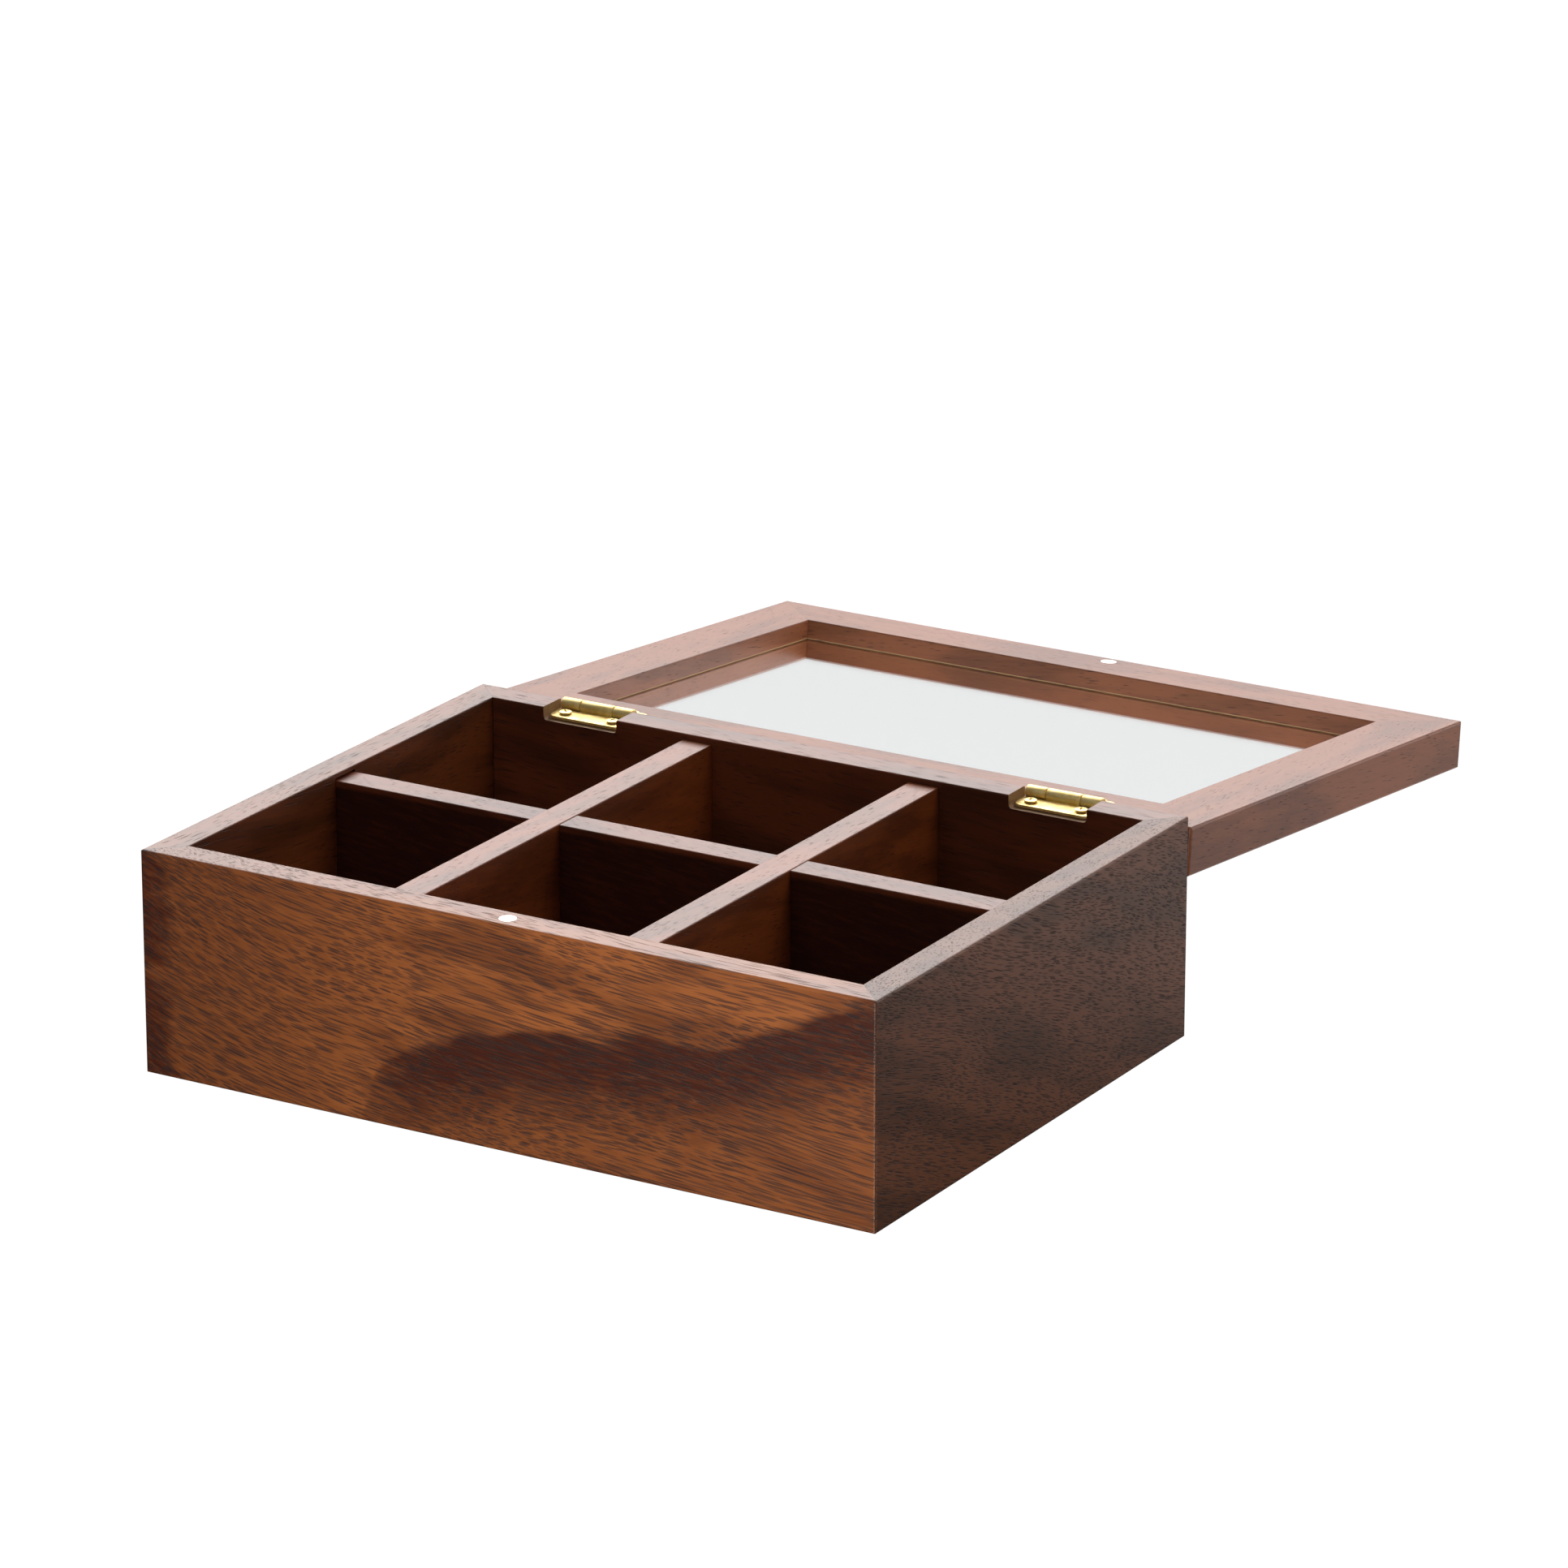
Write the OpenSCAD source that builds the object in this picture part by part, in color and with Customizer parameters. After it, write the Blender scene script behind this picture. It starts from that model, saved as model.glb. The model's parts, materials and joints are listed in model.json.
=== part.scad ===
// Six-compartment wooden box with a hinged, glazed lid.
//
// Origin: middle of the underside. +Z is up, the front faces -Y and X runs
// along the front. The lid is drawn lying open behind the box, where its back
// edge leans on the back panel. It is made in its closed place and then turned
// about the hinge pins.

/* [Box] */
// Width of the box along the front
box_w = 290; // [240:1:360]
// Depth of the box from front to back
box_d = 214; // [180:1:260]
// Height of the box body from the underside to the rim
box_h = 81; // [60:1:120]
// Thickness of the four walls
wall_t = 12; // [10:0.5:16]
// Radius of the sanded edges on the outside of the box
outer_ease = 1.0; // [0.5:0.1:1.8]
// Radius of the sanded edges on the inside of the box
inner_ease = 0.5; // [0.3:0.1:1]
// Thickness of the base board
base_t = 5; // [3:0.5:8]
// How far the base board reaches under each wall
base_lap = 6; // [3:0.5:8]
// Gap round the edge of the base board
base_gap = 0.15; // [0.05:0.05:0.4]

/* [Dividers] */
// Thickness of the dividers
divider_t = 12; // [8:0.5:14]
// How far the long dividers stay below the rim
divider_drop = 2.2; // [1:0.1:6]
// How much lower the cross divider is than the other two
cross_step = 0.3; // [0:0.1:1]
// Depth of the housings in the walls that take the divider ends
housing_depth = 3; // [2:0.5:5]
// Gap on each side of a divider in its housing and in its lap joint
joint_gap = 0.1; // [0.05:0.05:0.3]
// Height that the cross divider's housings are cut above it
housing_over = 0.8; // [0:0.1:1.5]

/* [Lid] */
// Thickness of the lid frame
lid_t = 18; // [14:0.5:24]
// Width of the four lid frame members
rail_w = 24; // [18:0.5:32]
// Radius of the sanded edges on the outside of the lid
lid_ease = 1.3; // [0.6:0.1:2]
// Gap between the rim and the closed lid
lid_gap = 0.2; // [0.15:0.05:0.5]
// Angle below level at which the open lid leans on the back panel
lid_droop = 5.76; // [5:0.01:5.9]
// Thickness of the glass
glass_t = 3; // [2:0.5:4]
// How far the glass reaches into each frame member
glass_lap = 5; // [3:0.5:7]
// Gap between the glass and each side of its groove
glass_gap = 0.1; // [0.05:0.05:0.3]

/* [Hinges] */
// Distance of each hinge from the middle of the back
hinge_x = 95.8; // [80:0.1:105]
// Length of the hinge barrel
hinge_len = 30; // [24:1:34]
// Reach of each leaf from the pin's axis to its free edge
leaf_reach = 11; // [9:0.5:12]
// Thickness of the leaves
leaf_t = 1.0; // [0.8:0.1:1.2]
// Radius of the free corners of the leaves
leaf_corner = 3; // [1:0.5:4]
// Outer radius of the barrel
barrel_r = 2.35; // [2.2:0.05:2.5]
// Distance of the pin's axis behind the back panel
axis_back = 1.05; // [1.05:0.01:1.2]
// Length of the middle knuckle
middle_knuckle = 13.6; // [10:0.1:16]
// Gap between neighbouring knuckles
knuckle_gap = 0.15; // [0.1:0.05:0.3]
// Bevel on the ends of the knuckles
knuckle_bevel = 0.3; // [0.1:0.05:0.4]
// Radius of the hinge pins
pin_r = 1.3; // [1.1:0.05:1.35]
// Clearance round the pin in the knuckles that turn on it
pin_clear = 0.05; // [0.02:0.01:0.1]
// Gap between each end of the barrel and the mortise
mortise_gap = 0.5; // [0.4:0.1:1]
// Radius in the bottom corners of the hinge mortises
mortise_corner = 1.6; // [1:0.1:2.2]

/* [Screws] */
// Distance of each screw from the middle of its hinge
screw_x = 10; // [9:0.1:11]
// Distance of the screws from the pin's axis
screw_y = 6.9; // [6:0.1:8]
// Diameter of the screw heads
head_d = 4.6; // [4:0.1:5]
// Diameter of the screw shanks
shank_d = 2.2; // [1.8:0.1:2.4]
// Length of the shanks below the leaf
shank_l = 7; // [5:0.5:9]

/* [Magnets] */
// Diameter of the disc magnets
magnet_d = 6; // [5:0.5:8]
// Thickness of the disc magnets
magnet_t = 3; // [2:0.5:4]

/* [Hidden] */

fine = 48;                                    // facets asked of a full circle
eps = 1;                                      // overshoot of every cutter

inner_w = box_w - 2 * wall_t;
inner_d = box_d - 2 * wall_t;
divider_x = (inner_w + divider_t) / 6;        // three equal compartments across
divider_top = box_h - divider_drop;
cross_top = divider_top - cross_step;
lap_z = (base_t + cross_top) / 2;             // meeting height of the lap joints

axis_y = box_d / 2 + axis_back;
axis_z = box_h + lid_gap - barrel_r;          // closed leaves fill the gap exactly
open_turn = 180 + lid_droop;
lid_z = box_h + lid_gap;                      // underside of the closed lid
knuckle_room = 0.25;                          // leaf edge to a turning knuckle

// The leaf ends bear on the rounded bottom corners of the mortise, which
// leaves a thin gap between the leaf and the mortise floor.
leaf_gap = mortise_corner
    - sqrt(pow(mortise_corner, 2) - pow(mortise_corner - mortise_gap, 2)) + 0.01;
mortise_w = hinge_len + 2 * mortise_gap;
mortise_z = axis_z - barrel_r - leaf_gap;     // floor of the mortise

head_cone = 1.15;                             // height of the countersunk cone
head_seat = 0.65;                             // how deep the cone sits in the leaf
head_rim = 0.3;                               // straight rim of the head
head_dome = 0.3;                              // rise of the head above its rim
cross_w = 0.55;                               // width of a slot of the cross recess
cross_l = 2.8;                                // length of a slot of the cross recess
cross_d = 0.8;                                // depth of the cross recess
screw_clear = 0.1;                            // round the shank and under the cone

wood = [0.36, 0.20, 0.12];
dark_wood = [0.28, 0.15, 0.10];
brass = [0.83, 0.66, 0.30];
steel = [0.85, 0.85, 0.86];
clear = [0.86, 0.92, 0.90, 0.35];

// ---- outlines ----------------------------------------------------------

// Rectangle with its lower left corner at the origin and four round corners.
module eased(w, h, r) {
    translate([r, 0]) square([w - 2 * r, h]);
    translate([0, r]) square([w, h - 2 * r]);
    for (x = [r, w - r])
        for (y = [r, h - r])
            translate([x, y]) circle(r = r, $fn = fine);
}

// Section of a wall or frame member. Its outer face is at x = 0, and its outer
// edges are rounder than its inner ones.
module stock_section(t, h, r_out, r_in) {
    eased(t, h, r_out);
    translate([t / 2, 0]) eased(t / 2, h, r_in);
}

// Plan of the member along the front of a mitred frame, w wide and d deep.
module mitred_plan(w, d, t, r) {
    intersection() {
        translate([-w / 2, -d / 2]) eased(w, d, r);
        polygon([
            [-w / 2, -d / 2], [w / 2, -d / 2],
            [w / 2 - t, -d / 2 + t], [-w / 2 + t, -d / 2 + t]
        ]);
    }
}

// Front member of a mitred frame w wide and d deep, standing on z = 0.
module mitred_member(w, d, t, h, r_out, r_in) {
    intersection() {
        translate([0, -d / 2, 0])
            rotate([90, 0, 90])
                linear_extrude(w, center = true) stock_section(t, h, r_out, r_in);
        translate([0, 0, -eps]) linear_extrude(h + 2 * eps) mitred_plan(w, d, t, r_out);
    }
}

// ---- box body ----------------------------------------------------------

module wall_along_x() {
    mitred_member(box_w, box_d, wall_t, box_h, outer_ease, inner_ease);
}

module wall_along_y() {
    mitred_member(box_d, box_w, wall_t, box_h, outer_ease, inner_ease);
}

// Rebate for the base board.
module base_rebate() {
    w = inner_w + 2 * base_lap;
    d = inner_d + 2 * base_lap;
    translate([-w / 2, -d / 2, -eps]) cube([w, d, base_t + eps]);
}

// Slots in the walls for the divider ends.
module divider_housings() {
    slot = divider_t + 2 * joint_gap;
    for (x = [-divider_x, divider_x])
        translate([x - slot / 2, -inner_d / 2 - housing_depth, 0])
            cube([slot, inner_d + 2 * housing_depth, divider_top]);
    translate([-inner_w / 2 - housing_depth, -slot / 2, 0])
        cube([inner_w + 2 * housing_depth, slot, cross_top + housing_over]);
}

// Hinge mortise, open at the top and through the whole wall.
module hinge_mortise(x) {
    translate([x - mortise_w / 2, box_d / 2 + eps, mortise_z])
        rotate([90, 0, 0])
            linear_extrude(wall_t + 2 * eps) {
                eased(mortise_w, box_h - mortise_z + eps, mortise_corner);
                translate([0, mortise_corner])
                    square([mortise_w, box_h - mortise_z]);
            }
}

// Pilot holes under the screws of a leaf on the box.
module box_pilots(x) {
    for (dx = [-screw_x, screw_x])
        translate([x + dx, axis_y - screw_y, axis_z - barrel_r - shank_l])
            cylinder(d = shank_d, h = shank_l + eps, $fn = fine);
}

// Pilot holes above the screws of a leaf on the closed lid.
module lid_pilots(x) {
    for (dx = [-screw_x, screw_x])
        translate([x + dx, axis_y - screw_y, lid_z - eps])
            cylinder(d = shank_d, h = shank_l + eps, $fn = fine);
}

module front_panel() {
    color(wood) difference() {
        wall_along_x();
        base_rebate();
        divider_housings();
        translate([0, -box_d / 2 + wall_t / 2, box_h - magnet_t])
            cylinder(d = magnet_d, h = magnet_t + eps, $fn = fine);
    }
}

module back_panel() {
    color(dark_wood) difference() {
        rotate([0, 0, 180]) wall_along_x();
        base_rebate();
        divider_housings();
        for (x = [-hinge_x, hinge_x]) {
            hinge_mortise(x);
            box_pilots(x);
        }
    }
}

module side_panel(side) {
    color(dark_wood) difference() {
        rotate([0, 0, 90 * side]) wall_along_y();
        base_rebate();
        divider_housings();
    }
}

module left_panel() { side_panel(-1); }
module right_panel() { side_panel(1); }

module base_board() {
    w = inner_w + 2 * (base_lap - base_gap);
    d = inner_d + 2 * (base_lap - base_gap);
    color(dark_wood) translate([-w / 2, -d / 2, 0]) cube([w, d, base_t]);
}

// ---- dividers ----------------------------------------------------------

// Divider of length l along X, from the base board up to height top.
module divider_stock(l, top) {
    translate([0, -divider_t / 2, base_t])
        rotate([90, 0, 90])
            linear_extrude(l, center = true) eased(divider_t, top - base_t, inner_ease);
}

// The two long dividers run from front to back and are notched from below.
module long_divider(side) {
    slot = divider_t + 2 * joint_gap;
    color(wood) difference() {
        translate([side * divider_x, 0, 0])
            rotate([0, 0, 90]) divider_stock(inner_d + 2 * housing_depth, divider_top);
        translate([side * divider_x - divider_t, -slot / 2, 0])
            cube([2 * divider_t, slot, lap_z]);
    }
}

module left_divider() { long_divider(-1); }
module right_divider() { long_divider(1); }

// The cross divider runs from side to side and is notched from above.
module cross_divider() {
    slot = divider_t + 2 * joint_gap;
    color(dark_wood) difference() {
        divider_stock(inner_w + 2 * housing_depth, cross_top);
        for (x = [-divider_x, divider_x])
            translate([x - slot / 2, -divider_t, lap_z]) cube([slot, 2 * divider_t, box_h]);
    }
}

// ---- lid ---------------------------------------------------------------

// Turns a piece from its closed place to the open lid's place.
module on_open_lid() {
    translate([0, axis_y, axis_z])
        rotate([-open_turn, 0, 0])
            translate([0, -axis_y, -axis_z]) children();
}

module lid_member(w, d) {
    mitred_member(w, d, rail_w, lid_t, lid_ease, inner_ease);
}

// Groove for the glass, all the way round the inside of the frame.
module glass_groove() {
    w = box_w - 2 * (rail_w - glass_lap - glass_gap);
    d = box_d - 2 * (rail_w - glass_lap - glass_gap);
    h = glass_t + 2 * glass_gap;
    translate([-w / 2, -d / 2, lid_z + (lid_t - h) / 2]) cube([w, d, h]);
}

module lid_front_rail() {
    color(wood) on_open_lid() difference() {
        translate([0, 0, lid_z]) lid_member(box_w, box_d);
        glass_groove();
        translate([0, -box_d / 2 + wall_t / 2, lid_z - eps])
            cylinder(d = magnet_d, h = magnet_t + eps, $fn = fine);
    }
}

module lid_back_rail() {
    color(wood) on_open_lid() difference() {
        translate([0, 0, lid_z]) rotate([0, 0, 180]) lid_member(box_w, box_d);
        glass_groove();
        for (x = [-hinge_x, hinge_x])
            lid_pilots(x);
    }
}

module lid_stile(side) {
    color(wood) on_open_lid() difference() {
        translate([0, 0, lid_z]) rotate([0, 0, 90 * side]) lid_member(box_d, box_w);
        glass_groove();
    }
}

module lid_left_stile() { lid_stile(-1); }
module lid_right_stile() { lid_stile(1); }

module lid_glass() {
    w = box_w - 2 * (rail_w - glass_lap);
    d = box_d - 2 * (rail_w - glass_lap);
    color(clear) on_open_lid()
        translate([-w / 2, -d / 2, lid_z + (lid_t - glass_t) / 2]) cube([w, d, glass_t]);
}

// ---- hinges ------------------------------------------------------------
// Each hinge is drawn about its pin's axis, with the box leaf below the axis
// and reaching towards -Y. The lid leaf of the closed hinge is its mirror image
// above the axis.

// Barrel piece from x0 to x1 with bevelled ends.
module knuckle(x0, x1) {
    b = knuckle_bevel;
    translate([x0, 0, 0]) rotate([0, 90, 0]) {
        cylinder(r1 = barrel_r - b, r2 = barrel_r, h = b, $fn = fine);
        translate([0, 0, b]) cylinder(r = barrel_r, h = x1 - x0 - 2 * b, $fn = fine);
        translate([0, 0, x1 - x0 - b])
            cylinder(r1 = barrel_r, r2 = barrel_r - b, h = b, $fn = fine);
    }
}

module bore(r) {
    rotate([0, 90, 0]) cylinder(r = r, h = hinge_len + 2 * eps, center = true, $fn = fine);
}

// Plan of a leaf, from its round free corners to the pin's axis.
module leaf_plan() {
    l = hinge_len;
    c = leaf_corner;
    translate([-l / 2, -leaf_reach]) {
        translate([c, 0]) square([l - 2 * c, leaf_reach]);
        translate([0, c]) square([l, leaf_reach - c]);
        for (x = [c, l - c])
            translate([x, c]) circle(r = c, $fn = fine);
    }
}

// Countersunk screw holes of a leaf that lies below the axis.
module leaf_holes() {
    r = shank_d / 2 + screw_clear;
    slope = (head_d - shank_d) / 2 / head_cone;
    for (x = [-screw_x, screw_x])
        translate([x, -screw_y, -barrel_r]) {
            translate([0, 0, -eps]) cylinder(r = r, h = leaf_t + 2 * eps, $fn = fine);
            translate([0, 0, leaf_t - head_seat])
                cylinder(r1 = r, r2 = r + slope * leaf_t, h = leaf_t, $fn = fine);
        }
}

// Room cut into a leaf, from x0 to x1, for a knuckle of the other leaf.
module knuckle_cut(x0, x1) {
    reach = barrel_r + knuckle_room;
    translate([x0, -reach, -barrel_r - eps]) cube([x1 - x0, 2 * reach, 2 * barrel_r + 2 * eps]);
}

module leaf_plate() {
    translate([0, 0, -barrel_r]) linear_extrude(leaf_t) leaf_plan();
}

// Leaf with the middle knuckle, screwed to the box.
module box_leaf() {
    m = middle_knuckle / 2;
    e = hinge_len / 2 + eps;
    difference() {
        union() {
            difference() {
                leaf_plate();
                knuckle_cut(-e, -m);
                knuckle_cut(m, e);
            }
            knuckle(-m, m);
        }
        bore(pin_r);
        leaf_holes();
    }
}

// Leaf with the two end knuckles, screwed to the lid and drawn below the axis.
module lid_leaf() {
    m = middle_knuckle / 2 + knuckle_gap;
    e = hinge_len / 2;
    difference() {
        union() {
            difference() {
                leaf_plate();
                knuckle_cut(-m, m);
            }
            knuckle(-e, -m);
            knuckle(m, e);
        }
        bore(pin_r + pin_clear);
        leaf_holes();
    }
}

module hinge_pin() {
    b = knuckle_bevel;
    l = hinge_len - 2 * b;
    rotate([0, 90, 0]) {
        cylinder(r = pin_r, h = l, center = true, $fn = fine);
        translate([0, 0, l / 2]) cylinder(r1 = pin_r, r2 = pin_r - b, h = b, $fn = fine);
        translate([0, 0, -hinge_len / 2]) cylinder(r1 = pin_r - b, r2 = pin_r, h = b, $fn = fine);
    }
}

// Countersunk screw with a low domed head. z = 0 is the bottom of its cone.
module screw() {
    r = head_d / 2;
    ball = (pow(r, 2) + pow(head_dome, 2)) / (2 * head_dome);
    top = head_cone + head_rim;
    difference() {
        union() {
            translate([0, 0, -shank_l]) cylinder(d = shank_d, h = shank_l, $fn = fine);
            cylinder(r1 = shank_d / 2, r2 = r, h = head_cone, $fn = fine);
            translate([0, 0, head_cone]) cylinder(r = r, h = head_rim, $fn = fine);
            intersection() {
                translate([0, 0, top + head_dome - ball]) sphere(r = ball, $fn = 2 * fine);
                translate([0, 0, top - eps / 10]) cylinder(r = r, h = head_dome + eps, $fn = fine);
            }
        }
        translate([-cross_l / 2, -cross_w / 2, top + head_dome - cross_d])
            cube([cross_l, cross_w, head_dome + cross_d]);
        translate([-cross_w / 2, -cross_l / 2, top + head_dome - cross_d])
            cube([cross_w, cross_l, head_dome + cross_d]);
    }
}

module leaf_screws() {
    for (x = [-screw_x, screw_x])
        translate([x, -screw_y, -barrel_r + leaf_t - head_seat]) screw();
}

// Puts a piece drawn about the pin's axis in its place on the box.
module at_hinge(side) {
    translate([side * hinge_x, axis_y, axis_z]) children();
}

// Turns a piece drawn below the axis to the closed lid, then opens the lid.
module at_lid_hinge(side) {
    on_open_lid() at_hinge(side) mirror([0, 0, 1]) children();
}

module left_hinge_box_leaf() { color(brass) at_hinge(-1) box_leaf(); }
module right_hinge_box_leaf() { color(brass) at_hinge(1) box_leaf(); }
module left_hinge_lid_leaf() { color(brass) at_lid_hinge(-1) lid_leaf(); }
module right_hinge_lid_leaf() { color(brass) at_lid_hinge(1) lid_leaf(); }
module left_hinge_pin() { color(brass) at_hinge(-1) hinge_pin(); }
module right_hinge_pin() { color(brass) at_hinge(1) hinge_pin(); }
module left_hinge_box_screws() { color(brass) at_hinge(-1) leaf_screws(); }
module right_hinge_box_screws() { color(brass) at_hinge(1) leaf_screws(); }
module left_hinge_lid_screws() { color(brass) at_lid_hinge(-1) leaf_screws(); }
module right_hinge_lid_screws() { color(brass) at_lid_hinge(1) leaf_screws(); }

// ---- magnets -----------------------------------------------------------

module box_magnet() {
    color(steel) translate([0, -box_d / 2 + wall_t / 2, box_h - magnet_t])
        cylinder(d = magnet_d, h = magnet_t, $fn = fine);
}

module lid_magnet() {
    color(steel) on_open_lid() translate([0, -box_d / 2 + wall_t / 2, lid_z])
        cylinder(d = magnet_d, h = magnet_t, $fn = fine);
}

front_panel();
back_panel();
left_panel();
right_panel();
base_board();
left_divider();
right_divider();
cross_divider();
lid_front_rail();
lid_back_rail();
lid_left_stile();
lid_right_stile();
lid_glass();
left_hinge_box_leaf();
left_hinge_lid_leaf();
left_hinge_pin();
left_hinge_box_screws();
left_hinge_lid_screws();
right_hinge_box_leaf();
right_hinge_lid_leaf();
right_hinge_pin();
right_hinge_box_screws();
right_hinge_lid_screws();
box_magnet();
lid_magnet();
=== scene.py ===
import json
import math

import bmesh
import bpy
from mathutils import Matrix, Vector


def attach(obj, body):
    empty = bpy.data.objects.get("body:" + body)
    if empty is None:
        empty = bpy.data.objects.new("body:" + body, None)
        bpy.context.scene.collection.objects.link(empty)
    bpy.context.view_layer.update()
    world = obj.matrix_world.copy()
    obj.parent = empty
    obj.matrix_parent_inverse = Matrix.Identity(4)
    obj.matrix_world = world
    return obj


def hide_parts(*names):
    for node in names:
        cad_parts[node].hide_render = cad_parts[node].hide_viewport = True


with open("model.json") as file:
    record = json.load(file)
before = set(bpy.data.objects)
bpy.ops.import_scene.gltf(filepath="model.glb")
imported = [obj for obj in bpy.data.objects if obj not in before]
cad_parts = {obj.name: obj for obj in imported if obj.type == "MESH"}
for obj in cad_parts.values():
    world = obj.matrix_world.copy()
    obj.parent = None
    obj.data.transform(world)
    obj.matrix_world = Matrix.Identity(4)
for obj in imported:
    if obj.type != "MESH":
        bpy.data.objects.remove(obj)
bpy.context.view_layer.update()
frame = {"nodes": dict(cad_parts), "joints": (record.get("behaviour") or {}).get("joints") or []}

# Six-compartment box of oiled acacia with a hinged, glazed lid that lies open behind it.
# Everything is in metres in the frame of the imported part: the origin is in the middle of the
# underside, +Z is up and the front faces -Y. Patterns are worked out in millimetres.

# ---- Walls -----------------------------------------------------------------------------
# Four acacia boards, 12 mm thick, mitred and glued at the corners. The faces are planed and
# sanded, the edges eased by hand, and the whole is wiped with a thin coat of dark satin oil.

MM = 0.001
PER_M = 1000.0


def put(tree, kind, feeds=(), **settings):
    """Adds a node of that kind. feeds gives sockets a number, a colour or another output."""
    node = tree.nodes.new(kind)
    for name, value in settings.items():
        setattr(node, name, value)
    for socket, value in dict(feeds).items():
        if isinstance(value, bpy.types.NodeSocket):
            tree.links.new(value, node.inputs[socket])
        else:
            node.inputs[socket].default_value = value
    return node


def reckon(tree, operation, *values, clamp=False):
    """Output of a Math node on up to three numbers or outputs."""
    feeds = dict(enumerate(values))
    return put(tree, "ShaderNodeMath", feeds, operation=operation, use_clamp=clamp).outputs[0]


def shift(tree, operation, *values):
    """Output of a Vector Math node on up to three vectors or outputs."""
    node = put(tree, "ShaderNodeVectorMath", dict(enumerate(values)), operation=operation)
    return node.outputs[0]


def ease(tree, value, low, high, to_low=0.0, to_high=1.0):
    """Output that goes smoothly from to_low to to_high while value goes from low to high."""
    feeds = {"Value": value, "From Min": low, "From Max": high, "To Min": to_low, "To Max": to_high}
    node = put(tree, "ShaderNodeMapRange", feeds, interpolation_type="SMOOTHSTEP")
    return node.outputs[0]


def tint(tree, share, first, second, mode="MIX"):
    """Output of a colour mix."""
    feeds = {0: share, 6: first, 7: second}
    node = put(tree, "ShaderNodeMix", feeds, data_type="RGBA", blend_type=mode)
    return node.outputs[2]


def noise(tree, vector, detail=2.0, rough=0.5, scale=1.0):
    """Noise Texture node on a vector that already has the pattern's size."""
    feeds = {"Vector": vector, "Scale": scale, "Detail": detail, "Roughness": rough}
    return put(tree, "ShaderNodeTexNoise", feeds)


def new_group(name, inputs, outputs):
    """Shader node group with named sockets; returns its tree and its inner ends."""
    group = bpy.data.node_groups.new(name, "ShaderNodeTree")
    for label, kind, value in inputs:
        socket = group.interface.new_socket(label, in_out="INPUT", socket_type=kind)
        socket.default_value = value
    for label, kind in outputs:
        group.interface.new_socket(label, in_out="OUTPUT", socket_type=kind)
    return group, group.nodes.new("NodeGroupInput").outputs, group.nodes.new("NodeGroupOutput")


WAVE_RATE = (1 / 115, 1 / 42, 1 / 42)
STREAK_RATE = (0.035, 0.8, 0.8)
CLOUD_RATE = (1 / 75, 1 / 15, 1 / 15)
STREAK_DEPTH = 0.9
PORE_SPREAD = 0.18
PORE_SOFT = (-0.04, 0.20)
PORE_SHADE = (0.26, 0.24, 0.30, 1)
CLOUD_EDGE = (0.40, 0.66)
STREAK_RELIEF = 0.25
PORE_ROUGH = 0.25
RAW_ROUGH = 0.3
GLUE_BROWN = (0.03, 0.016, 0.010, 1)


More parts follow.
